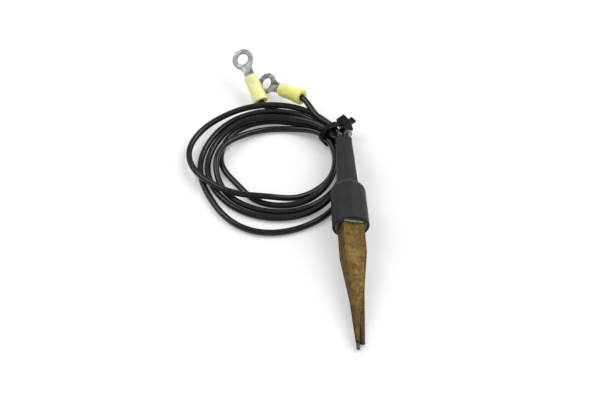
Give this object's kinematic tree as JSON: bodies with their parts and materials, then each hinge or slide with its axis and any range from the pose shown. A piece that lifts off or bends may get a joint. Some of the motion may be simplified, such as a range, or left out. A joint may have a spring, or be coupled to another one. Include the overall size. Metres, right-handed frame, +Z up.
{
  "type": "oscilloscope probe",
  "caption": "Contact probe: sprung folded brass blades side by side with round pins at the tip, a shrunk sleeve grip, coiled black leads held by a tie, and yellow ring terminals.",
  "frame": {"origin": "on the table plane, below the middle of the probe without its free leads", "axes": "+Y from the tip towards the lead end of the probe, +Z up from the table, +X to the right"},
  "size_m": [0.0763, 0.1664, 0.0191],
  "materials": {
    "grip_tube": "satin heat-shrink tube",
    "lead_tube": "satin heat-shrink tube",
    "adhesive": "translucent set adhesive",
    "insulator": "sheet fibre",
    "blade_brass": "tarnished",
    "pin_steel": "dull",
    "copper_strands": "bare copper",
    "solder": "satin",
    "lead_jacket": "glossy flexible jacket",
    "tie_nylon": "moulded nylon",
    "tinned_copper": "tinned, slightly tarnished",
    "yellow_vinyl": "translucent soft vinyl"
  },
  "bodies": {
    "handle": {"grip_sleeve": "grip_tube", "lead_sleeve": "lead_tube", "mouth_potting": "adhesive", "blade_spacer": "insulator", "sleeved_lead_a": "lead_jacket", "sleeved_lead_b": "lead_jacket", "lead_entry_a": "lead_jacket", "lead_coil_a": "lead_jacket", "lead_tail_a": "lead_jacket", "lead_entry_b": "lead_jacket", "lead_coil_b": "lead_jacket", "lead_tail_b": "lead_jacket", "cable_tie": "tie_nylon", "ring_terminal_a": "tinned_copper", "ring_terminal_b": "tinned_copper", "terminal_vinyl_a": "yellow_vinyl", "terminal_vinyl_b": "yellow_vinyl", "crimped_core_a": "copper_strands", "crimped_core_b": "copper_strands"},
    "upper_arm": {"upper_blade": "blade_brass", "upper_contact_pin": "pin_steel", "upper_conductor": "copper_strands", "upper_solder": "solder"},
    "lower_arm": {"lower_blade": "blade_brass", "lower_contact_pin": "pin_steel", "lower_conductor": "copper_strands", "lower_solder": "solder"}
  },
  "joints": [
    {"name": "upper_blade_spring", "type": "hinge", "parent": "handle", "child": "upper_arm", "pos_m": [0.00111, 0.00571, 0.01349], "axis": [0.9659, 0.036, -0.2563], "range_deg": [-1, 0.4], "stiffness_Nm_per_rad": 1.5},
    {"name": "lower_blade_spring", "type": "hinge", "parent": "handle", "child": "lower_arm", "pos_m": [-0.00111, 0.00687, 0.00527], "axis": [-0.9659, -0.036, 0.2563], "range_deg": [-1, 0.4], "stiffness_Nm_per_rad": 1.5}
  ]
}
